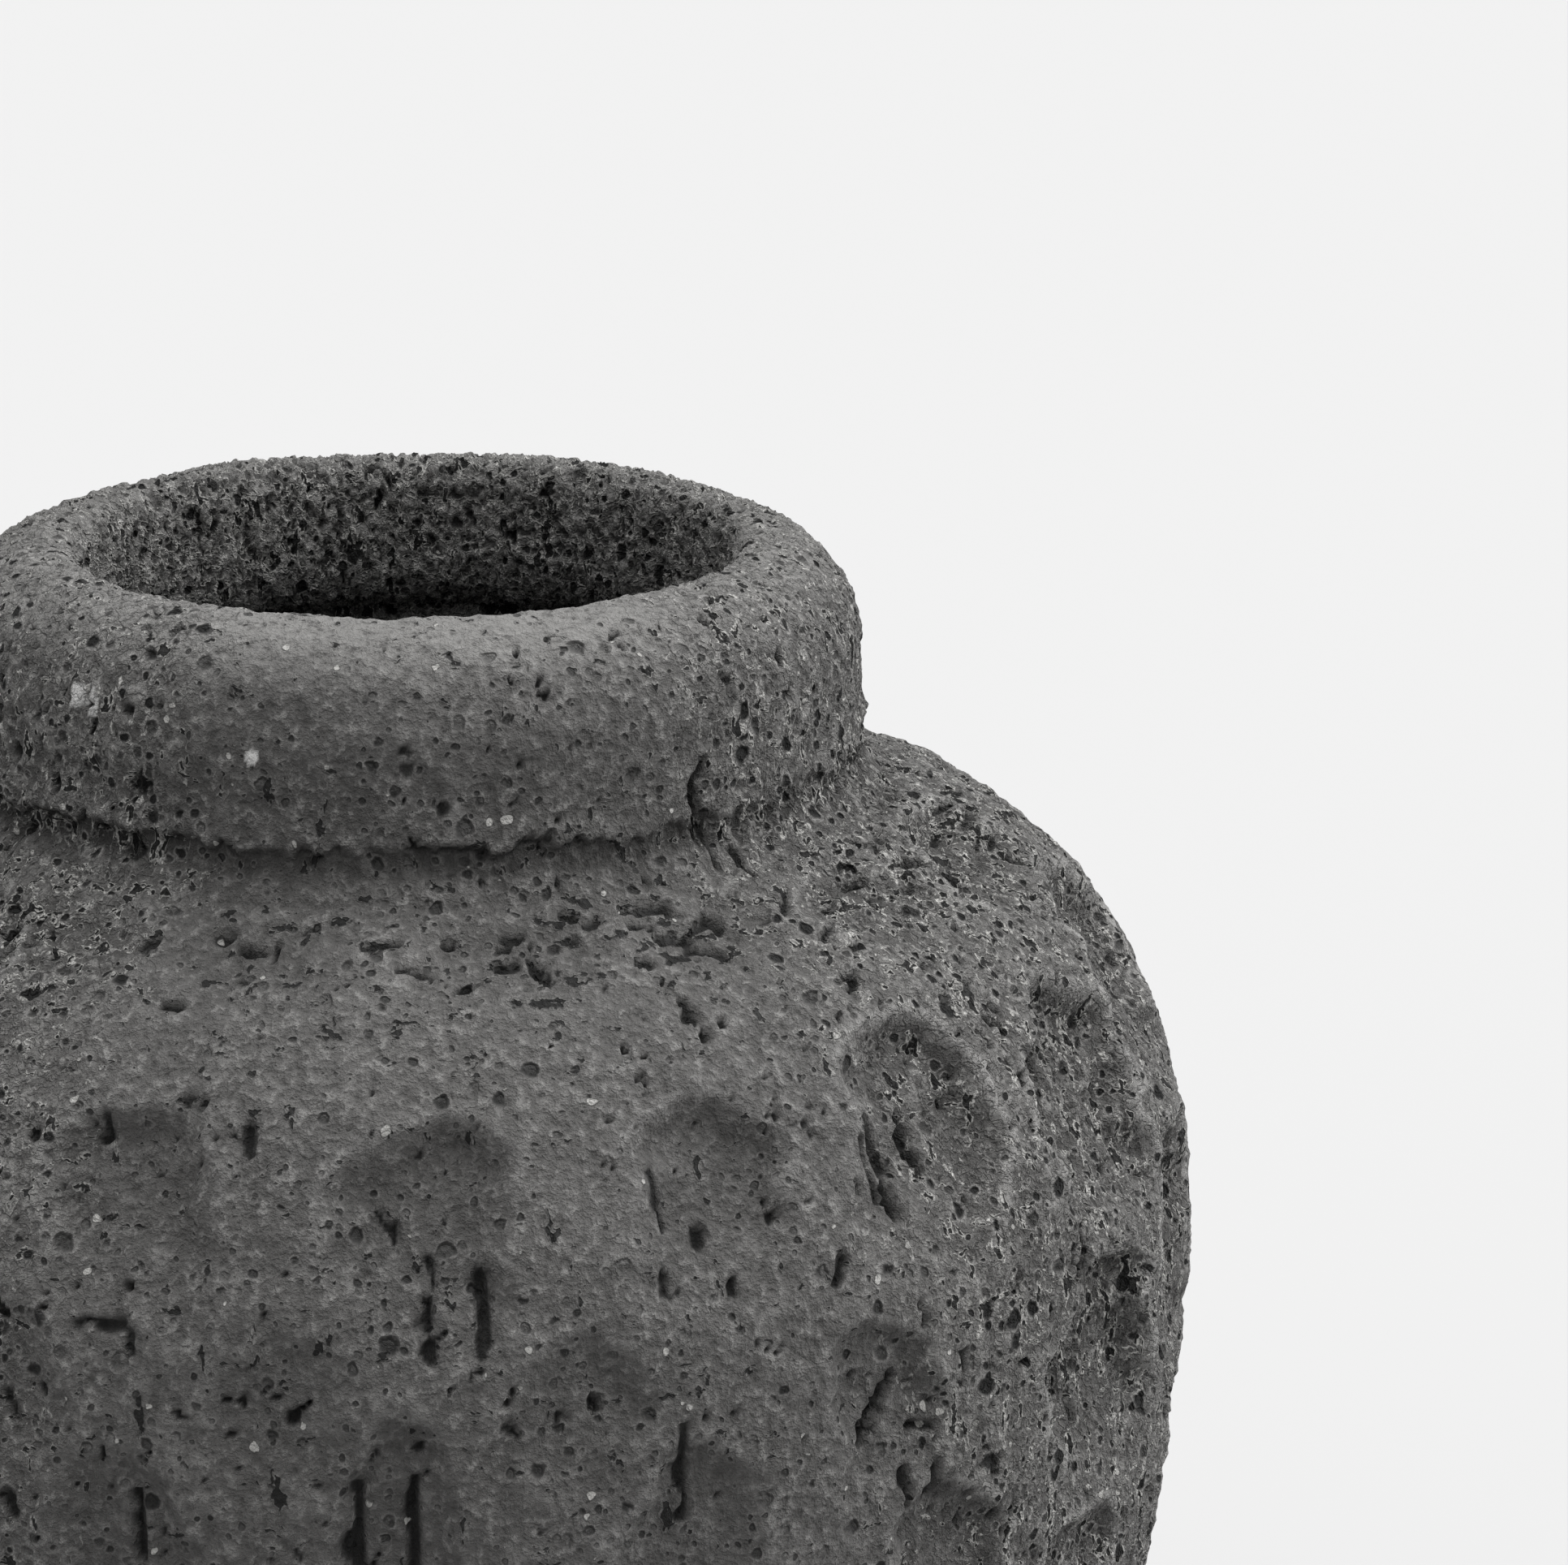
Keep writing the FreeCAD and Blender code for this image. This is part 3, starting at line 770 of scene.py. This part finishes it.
# everything that is finer than the mesh
def fineHoles(tree, place, rough, hollow):
    bent = bentPlace(tree, place, *finish["bend"])
    up = addNode(tree, "ShaderNodeSeparateXYZ", {0: place}).outputs[2]
    patches = fade(tree, noise(tree, place, finish["patches"], 3, 0.6).outputs[0], 0.35, 0.62, 0.35, 1.0)
    patches = plus(tree, patches, times(tree, rough, 0.45), True)
    wide, wideEdge = craters(tree, bent, patches, *finish["wideCraters"])
    tight, tightEdge = craters(tree, bent, patches, *finish["tightCraters"])

    low, lowFull, highFull, high = finish["tornBand"]
    band = times(tree, fade(tree, up, low, lowFull), fade(tree, up, highFull, high, 1.0, 0.0))
    flatGain = plus(tree, times(tree, band, 0.055), times(tree, patches, 0.02))
    tallGain = plus(tree, times(tree, rough, 0.055), times(tree, hollow, 0.025))
    tallGain = plus(tree, tallGain, times(tree, patches, 0.015))
    flat, flatEdge = raggedHoles(tree, bent, flatGain, *finish["flatHoles"])
    tall, tallEdge = raggedHoles(tree, bent, tallGain, *finish["tallHoles"])

    veins = maths(tree, "ABSOLUTE", less(tree, noise(tree, bent, finish["veins"], 3).outputs[0], 0.5))
    speckCell, speckSize = finish["specks"]
    specks = cells(tree, bent, speckCell)
    dice = addNode(tree, "ShaderNodeSeparateColor", {0: specks.outputs["Color"]}).outputs[1]
    size = times(tree, fade(tree, dice, 0.5, 1.0), speckSize)
    return {
        "up": up,
        "wide": wide,
        "tight": tight,
        "crater": most(tree, wide, tight),
        "craterEdge": most(tree, wideEdge, tightEdge),
        "torn": most(tree, flat, tall),
        "tornEdge": most(tree, flatEdge, tallEdge),
        "veins": times(tree, fade(tree, veins, 0.0, 0.05, 1.0, 0.0), rough),
        "speck": fade(tree, less(tree, specks.outputs["Distance"], size), -0.03, 0.0, 1.0, 0.0),
        "grain": noise(tree, place, finish["grain"], 4, 0.65).outputs[0],
        "clouds": noise(tree, place, finish["clouds"], 5, 0.6).outputs[0],
    }


# the body of the clay: clouded; painted shade inside the mouth and round the neck, a painted highlight on the
# lip's top
def bodyColour(tree, fine, inner):
    colour = mix(tree, fade(tree, fine["clouds"], 0.3, 0.7, 0.6, 1.0), stoneware["dark"], stoneware["middle"])
    # painted shade: the inside of the mouth is painted near black, and the far side of the rim with it
    colour = mix(tree, times(tree, inner, 0.7), colour, stoneware["black"])
    # painted shade round the neck, below the lip's overhang
    low, lowFull, highFull, high = finish["neckShadeBand"]
    neck = times(tree, fade(tree, fine["up"], low, lowFull), fade(tree, fine["up"], highFull, high, 0.45, 0.0))
    colour = mix(tree, neck, colour, stoneware["dark"])
    # painted highlight on the lip's top, on the outside only
    rim = times(tree, fade(tree, fine["up"], *finish["rimHighlightBand"], 0.0, 0.6), less(tree, 1.0, inner))
    return mix(tree, rim, colour, stoneware["pale"])


# pale and dark random grain; painted highlights on crests and ridges, painted glints on rough grain, painted
# shade in hollows
def grainHighlightsAndShade(tree, colour, fine, stored, rough):
    grain, harsh = fine["grain"], finish["harshness"]
    colour = mix(tree, fade(tree, grain, 0.5, 0.70, 0.0, harsh), colour, stoneware["pale"])
    gloom = mix(tree, times(tree, rough, 0.8), stoneware["dark"], stoneware["black"])
    colour = mix(tree, fade(tree, grain, 0.32, 0.47, harsh, 0.0), colour, gloom)
    # painted highlight on raised lumps, web and pore rims
    colour = mix(tree, fade(tree, stored["crest"], 0.0, 0.6, 0.0, 0.6), colour, stoneware["pale"])
    # painted glints: pale spots on the grain where the skin is rough
    crumbGlints = times(tree, fade(tree, grain, 0.6, 0.7, 0.0, 0.7), rough)
    colour = mix(tree, crumbGlints, colour, stoneware["speck"])
    # painted highlight along the ridges between finger hollows, stronger where the skin is coarse
    ridgeHighlight = times(tree, stored["ridge"], fade(tree, stored["coarse"], 0.0, 1.0, 0.12, 0.95))
    colour = mix(tree, ridgeHighlight, colour, stoneware["ridgeHighlight"])
    # painted shade in the finger hollows and in the band below the collar's ledge
    shade = times(tree, stored["hollow"], fade(tree, stored["coarse"], 0.0, 1.0, 0.4, 0.55))
    return mix(tree, shade, colour, stoneware["dark"])


# veins, painted highlights on pore rims and painted glints, then painted shade in the holes, then the white
# specks and chips
def holeColour(tree, colour, fine, stored, rough):
    colour = mix(tree, times(tree, fine["veins"], 0.6), colour, stoneware["pale"])
    colour = mix(tree, times(tree, stored["inner"], fine["veins"]), colour, stoneware["speck"])
    # painted highlights on the rims of craters and torn holes
    edges = most(tree, fine["craterEdge"], times(tree, fine["tornEdge"], 2.2))
    edges = times(tree, edges, fade(tree, rough, 0.0, 1.0, 0.15, 0.75))
    colour = mix(tree, edges, colour, stoneware["pale"])
    # painted glints on the torn edges where the skin is rough
    glint = times(tree, times(tree, fine["tornEdge"], rough), 1.5, True)
    colour = mix(tree, glint, colour, stoneware["speck"])
    # painted shade: craters, torn holes, pits, gouges and the line under the ledge painted near black
    sunk = times(tree, fine["crater"], fade(tree, rough, 0.0, 1.0, 0.8, 1.6), True)
    colour = mix(tree, sunk, colour, stoneware["black"])
    colour = mix(tree, times(tree, fine["torn"], 0.95), colour, stoneware["black"])
    colour = mix(tree, fade(tree, stored["pit"], 0.1, 0.95, 0.0, 0.92), colour, stoneware["black"])
    colour = mix(tree, times(tree, fine["speck"], 0.75), colour, stoneware["speck"])
    return mix(tree, stored["chip"], colour, stoneware["chip"])


def makeStoneware():
    material = bpy.data.materials.new("roughStoneware")
    material.use_nodes = True
    tree = material.node_tree
    shader = tree.nodes["Principled BSDF"]
    place = tree.nodes.new("ShaderNodeTexCoord").outputs["Object"]
    stored = {name: addNode(tree, "ShaderNodeAttribute", attribute_name=name).outputs["Fac"]
              for name in ("pit", "crest", "hollow", "ridge", "inner", "coarse", "chip")}
    rough = most(tree, stored["coarse"], stored["inner"])
    fine = fineHoles(tree, place, rough, stored["hollow"])

    colour = bodyColour(tree, fine, stored["inner"])
    colour = grainHighlightsAndShade(tree, colour, fine, stored, rough)
    colour = holeColour(tree, colour, fine, stored, rough)
    tree.links.new(colour, shader.inputs["Base Color"])

    polish = plus(tree, fine["grain"], times(tree, stored["ridge"], 0.3))
    tree.links.new(fade(tree, polish, 0.3, 0.9, *finish["roughness"]), shader.inputs["Roughness"])
    shader.inputs["Specular IOR Level"].default_value = finish["gloss"]

    height = plus(tree, fine["grain"], times(tree, fine["veins"], 0.4))
    for name, share in (("wide", -0.9), ("tight", -0.5), ("torn", -0.8), ("tornEdge", 0.15), ("speck", 0.3)):
        height = plus(tree, height, times(tree, fine[name], share))
    distance = fade(tree, rough, 0.0, 1.0, *finish["bump"])
    bump = addNode(tree, "ShaderNodeBump", {"Strength": 1.0, "Distance": distance, "Height": height})
    tree.links.new(bump.outputs[0], shader.inputs["Normal"])
    return material


clay = makeStoneware()


def finishPiece(piece, node):
    piece.data.materials.clear()
    piece.data.materials.append(clay)
    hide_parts(node)
    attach(piece, "root")
    print(node, len(piece.data.polygons), "faces")


# wall courses and shoulder
opening = jar["neck"] - jar["collarWall"]
insideCell = 0.005  # the hidden inside has a coarser mesh
holeCell = 0.002
seamCell = 0.02  # the joint faces are never seen


def tiltAtHeight(arc, height, inset):
    return math.asin((height - arc["centre"][1]) / (arc["radius"] - inset))


def makeCourse(course, node):
    arc, tilts = wallArcs[course], (wallArcs[course]["from"], wallArcs[course]["to"])
    outer = arcSection(arc["centre"], arc["radius"], *tilts, jar["cell"], "outside", arc["start"])
    outerLow, outerHigh = arcPoint(arc, arc["from"]), arcPoint(arc, arc["to"])
    lowTilt, highTilt = arc["from"], arc["to"]
    sections = [outer]
    if course == 6:  # the shoulder's top is a flat seat, and its hole goes straight down
        highTilt = math.acos((opening - arc["centre"][0]) / (arc["radius"] - jar["wall"]))
        innerHigh = arcPoint(arc, highTilt, jar["wall"])
        seatInside = (opening, jar["seamHeights"][6])
        sections.append(runSection(outerHigh, seatInside, seamCell, "seam"))
        sections.append(runSection(seatInside, innerHigh, holeCell, "inside", (-1.0, 0.0)))
    else:
        innerHigh = arcPoint(arc, highTilt, jar["wall"])
        sections.append(runSection(outerHigh, innerHigh, seamCell, "seam"))
    if course == 1:
        lowTilt = tiltAtHeight(arc, jar["seamHeights"][0], jar["wall"])
    innerRadius = arc["radius"] - jar["wall"]
    sections.append(arcSection(arc["centre"], innerRadius, highTilt, lowTilt, insideCell, "inside"))
    sections.append(runSection(arcPoint(arc, lowTilt, jar["wall"]), outerLow, seamCell, "seam"))
    piece = drawProfile(node + "_clay", sections)
    turnProfile(piece)
    finishSkin(piece, sections)
    finishPiece(piece, node)


for course in range(1, 6):
    makeCourse(course, f"wall_course_{course}")
makeCourse(6, "shoulder_course")
print("wall done")


# collar: its foot is smeared over the shoulder with a ragged, scalloped edge
collar = {
    "low": 0.348,
    "high": 0.366,
    "skirtTop": 0.3535,
    "skirtReach": 0.0048,
    "skirtLean": 55,
    "sunk": 0.0009,
    "seam": 0.3588,
    "ledge": 0.0013,
    "undercut": 0.0016,
    "lobes": ((5, 2.0, 0.00294), (31, 8.0, 0.00147), (70, 9.0, 0.0007)),  # how fine, seed, how far
    "scoops": (13, 5.0, 0.00378),
    "proud": ((4, 12.0, 1.2), (16, 14.0, 0.8)),
    "smearedAway": (290, 318, 0.75),  # degrees between which the ledge fades, and how much
    "insideCell": 0.0013,
}


def seamNoise(turn, fine, seed):
    return np.array([mathNoise.noise(Vector((math.cos(a) * fine, math.sin(a) * fine, seed))) for a in turn])


# the height of the ragged edge round the collar, and how proud its ledge stands there
def raggedEdge(turn):
    steps = jar["turnSteps"]
    ring = np.arange(steps) * 2 * math.pi / steps
    edge = np.full(steps, collar["seam"])
    for fine, seed, strength in collar["lobes"]:
        edge = edge + strength * seamNoise(ring, fine, seed)
    fine, seed, strength = collar["scoops"]
    edge = edge - strength * np.abs(seamNoise(ring, fine, seed))
    proud = 0.7 + sum(strength * seamNoise(ring, fine, seed) for fine, seed, strength in collar["proud"])
    start, end, share = collar["smearedAway"]
    proud = collar["ledge"] * proud.clip(0.05, 1.5) * (1 - share * smooth(np.degrees(ring), start, end))
    index = np.round(turn / (2 * math.pi) * steps).astype(int) % steps
    return edge[index], proud[index]


def luteCollar(surface):
    turn, up = surface["turn"], surface["up"]
    edge, proud = raggedEdge(turn)
    outer = (surface["face"] == 0) | surface["corner"] & (surface["across"] > jar["neck"] - 0.001)
    above, ledge = up - edge, proud / collar["ledge"]
    lip = smooth(above, -0.0003, 0.0006) * (1 - smooth(above, 0.0005, 0.0075))
    under = smooth(-above, 0.0, 0.0012) * (1 - smooth(-above, 0.004, 0.009))
    out = (proud * lip - collar["undercut"] * under * (0.5 + 0.5 * ledge)) * outer

    # the skirt runs out along the shoulder's own arc
    share = np.clip((collar["skirtTop"] - up) / (collar["skirtTop"] - collar["low"]), 0, 1) * outer
    spread = collar["skirtReach"] * share**2.4
    arc = wallArcs[6]
    across = surface["across"] + spread - arc["centre"][0]
    ground = arc["centre"][1] + np.sqrt(arc["radius"] ** 2 - across**2)
    drop = (ground - collar["sunk"] - collar["low"]) * share**3 * outer
    lean = (share * math.radians(collar["skirtLean"]))[:, None]
    flat = np.stack([np.cos(turn), np.sin(turn), np.zeros(len(turn))], 1)
    tipped = flat * np.cos(lean) + np.array([0, 0, 1.0]) * np.sin(lean)
    surface["outward"] = np.where(outer[:, None], tipped, surface["outward"])

    # painted shadow: a dark line just under the ledge
    surface["crack"] = np.exp(-(((above + 0.0007) / 0.0008) ** 2)) * outer * np.clip(ledge, 0, 1)
    # painted shade in the band below the ledge; the hollow attribute carries it into a darker colour
    shade = smooth(-above, -0.001, 0.001) * (1 - smooth(-above, 0.004, 0.010))
    surface["shade"] = 1.9 * shade * outer
    out = out + spread
    return np.stack([out * np.cos(turn), out * np.sin(turn), drop], 1)


def makeCollar():
    cell = jar["cell"]
    outside, inside = jar["neck"], opening
    low, high = collar["low"], collar["high"]
    sections = [
        runSection((outside, low), (outside, high), cell, "outside", reach=neckReach),
        runSection((outside, high), (inside, high), seamCell, "seam"),
        runSection((inside, high), (inside, low), collar["insideCell"], "inside", (-1.0, 0.0)),
        runSection((inside, low), (outside, low), seamCell, "seam"),
    ]
    piece = drawProfile("collar_ring_clay", sections)
    turnProfile(piece)
    finishSkin(piece, sections, luteCollar)
    finishPiece(piece, "collar_ring")


makeCollar()

# lip: a thick coil, rounded outside and hanging over inside
lip = {"base": 0.366, "throat": 0.07171, "round": 0.024, "edgeRound": 0.004, "underRound": 0.012,
       "cell": 0.00104, "underCell": 0.00156}


def makeLip():
    cell, top, outside = lip["cell"], jar["height"], jar["neck"]
    shoulder = top - lip["round"]
    throat, edge, under = lip["throat"], lip["edgeRound"], lip["underRound"]
    quarter = math.pi / 2
    start = neckReach + lip["base"] - collar["low"]
    turned = start + shoulder - lip["base"]
    crest = turned + lip["round"] * quarter
    flat = outside - lip["round"] - throat - edge
    underCentre = (throat + under, lip["base"] + under)
    sections = [
        runSection((outside, lip["base"]), (outside, shoulder), cell, "outside", reach=start),
        arcSection((outside - lip["round"], shoulder), lip["round"], 0, quarter, cell, "outside", turned),
        runSection((outside - lip["round"], top), (throat + edge, top), cell, "outside", (0.0, 1.0), crest),
        arcSection((throat + edge, top - edge), edge, quarter, 2 * quarter, cell, "outside", crest + flat),
        runSection((throat, top - edge), (throat, lip["base"] + under), cell, "inside", (-1.0, 0.0)),
        arcSection(underCentre, under, 2 * quarter, 3 * quarter, lip["underCell"], "inside"),
        runSection((throat + under, lip["base"]), (outside, lip["base"]), seamCell, "seam"),
    ]
    piece = drawProfile("lip_coil_clay", sections)
    turnProfile(piece)
    finishSkin(piece, sections)
    finishPiece(piece, "lip_coil")


makeLip()
print("collar and lip done")


# floor slab and the coil in its corner
slab = {"top": 0.014, "ringWidth": 0.026, "recess": 0.002, "bevel": 0.003, "coil": 0.014, "cove": 0.03,
        "recessCell": 0.003, "ringCell": 0.0015, "edgeCell": 0.001, "coveCell": 0.0015}


def makeSlab():
    foot, top, recess, bevel = jar["foot"], slab["top"], slab["recess"], slab["bevel"]
    flare = -jar["footLean"] * jar["belly"] / jar["height"]
    ring = foot - slab["ringWidth"]
    down, side = (0.0, -1.0), (math.cos(math.atan(flare)), -math.sin(math.atan(flare)))
    innerFoot = arcPoint(wallArcs[1], tiltAtHeight(wallArcs[1], top, jar["wall"]), jar["wall"])[0]
    edgeLow, edgeTop = (foot + bevel * flare, bevel), (foot + top * flare, top)
    sections = [
        runSection((0, recess), (ring - recess, recess), slab["recessCell"], "under", down),
        runSection((ring - recess, recess), (ring, 0), slab["edgeCell"], "under", (-0.7, -0.7)),
        runSection((ring, 0), (foot - bevel, 0), slab["ringCell"], "under", down),
        runSection((foot - bevel, 0), edgeLow, slab["edgeCell"], "under", (0.6, -0.8)),
        runSection(edgeLow, edgeTop, jar["cell"], "outside", side, -(top - bevel) / side[0]),
        runSection(edgeTop, (innerFoot, top), seamCell, "seam"),
        runSection((innerFoot, top), (0, top), insideCell, "inside", (0.0, 1.0)),
    ]
    piece = drawProfile("base_slab_clay", sections)
    turnProfile(piece)
    finishSkin(piece, sections)
    finishPiece(piece, "base_slab")


def makeFloorCoil():
    arc, top = wallArcs[1], slab["top"]
    low = tiltAtHeight(arc, top, jar["wall"])
    high = tiltAtHeight(arc, top + slab["coil"], jar["wall"])
    corner, wallEdge = arcPoint(arc, low, jar["wall"]), arcPoint(arc, high, jar["wall"])
    floorEdge = (corner[0] - slab["coil"], top)
    half = math.dist(wallEdge, floorEdge) / 2
    reach = math.sqrt(slab["cove"] ** 2 - half**2)
    run, rise = floorEdge[0] - wallEdge[0], floorEdge[1] - wallEdge[1]
    centre = ((wallEdge[0] + floorEdge[0]) / 2 + rise / (2 * half) * reach,
              (wallEdge[1] + floorEdge[1]) / 2 - run / (2 * half) * reach)
    start, end = (math.atan2(p[1] - centre[1], p[0] - centre[0]) for p in (wallEdge, floorEdge))
    sections = [
        arcSection(arc["centre"], arc["radius"] - jar["wall"], low, high, insideCell, "seam"),
        arcSection(centre, slab["cove"], start, end, slab["coveCell"], "inside"),
        runSection(floorEdge, corner, seamCell, "seam"),
    ]
    piece = drawProfile("floor_coil_clay", sections)
    turnProfile(piece)
    finishSkin(piece, sections)
    finishPiece(piece, "floor_coil")


makeSlab()
makeFloorCoil()
print("floor done")

# floor, light and camera
studio = {
    "floor": 0.758,
    "horizon": 0.38,
    "zenith": 2.2,
    "power": 6.0,
    "below": 0.36,
    "sideWay": (0.9, 0.15, 0.42),
    "sidePower": 10.0,
    "sideGlow": 3.2,
    "background": 0.888,
}
view = {"place": (0, -1.2, 0.6792), "down": 0.273, "right": 0.069, "lens": 129.3, "film": 36}


def makeGround():
    bpy.ops.mesh.primitive_plane_add(size=60)
    ground = bpy.context.object
    ground.name = "studioFloor"
    paint = bpy.data.materials.new("paleFloor")
    paint.use_nodes = True
    shader = paint.node_tree.nodes["Principled BSDF"]
    shader.inputs["Base Color"].default_value = (studio["floor"],) * 3 + (1,)
    shader.inputs["Roughness"].default_value = 1.0
    shader.inputs["Specular IOR Level"].default_value = 0.0
    ground.data.materials.append(paint)
    # the sky's lower half stands for the light off the floor
    ground.visible_diffuse = ground.visible_glossy = False


# brightest overhead, with a glow from the right; a plain backdrop is what shows behind
def makeSky():
    world = bpy.data.worlds.new("softSky")
    bpy.context.scene.world = world
    world.use_nodes = True
    tree = world.node_tree
    way = tree.nodes.new("ShaderNodeTexCoord").outputs["Generated"]
    rise = addNode(tree, "ShaderNodeSeparateXYZ", {0: way}).outputs["Z"]
    glow = times(tree, maths(tree, "POWER", most(tree, rise, 0.0), studio["power"]), studio["zenith"])
    glow = plus(tree, glow, studio["horizon"])
    isBelow = maths(tree, "LESS_THAN", rise, 0.0)
    glow = plus(tree, glow, times(tree, isBelow, studio["below"] - studio["horizon"]))
    values = {0: way, 1: studio["sideWay"]}
    side = addNode(tree, "ShaderNodeVectorMath", values, operation="DOT_PRODUCT").outputs["Value"]
    side = maths(tree, "POWER", most(tree, side, 0.0), studio["sidePower"])
    glow = plus(tree, glow, times(tree, side, studio["sideGlow"]))
    seen = tree.nodes.new("ShaderNodeLightPath").outputs["Is Camera Ray"]
    strength = addNode(tree, "ShaderNodeMix", {0: seen, 2: glow, 3: studio["background"]}, data_type="FLOAT")
    sky = tree.nodes["Background"]
    sky.inputs["Color"].default_value = (1, 1, 1, 1)
    tree.links.new(strength.outputs[0], sky.inputs["Strength"])


def makeCamera():
    camera = bpy.data.objects.new("camera", bpy.data.cameras.new("camera"))
    bpy.context.scene.collection.objects.link(camera)
    camera.location = view["place"]
    camera.rotation_euler = (math.pi / 2 - view["down"], 0, -view["right"])
    camera.data.sensor_width = view["film"]
    camera.data.lens = view["lens"]
    camera.data.clip_end = 100
    bpy.context.scene.camera = camera


makeGround()
makeSky()
makeCamera()
bpy.context.scene.view_settings.view_transform = "Standard"
print("studio done")
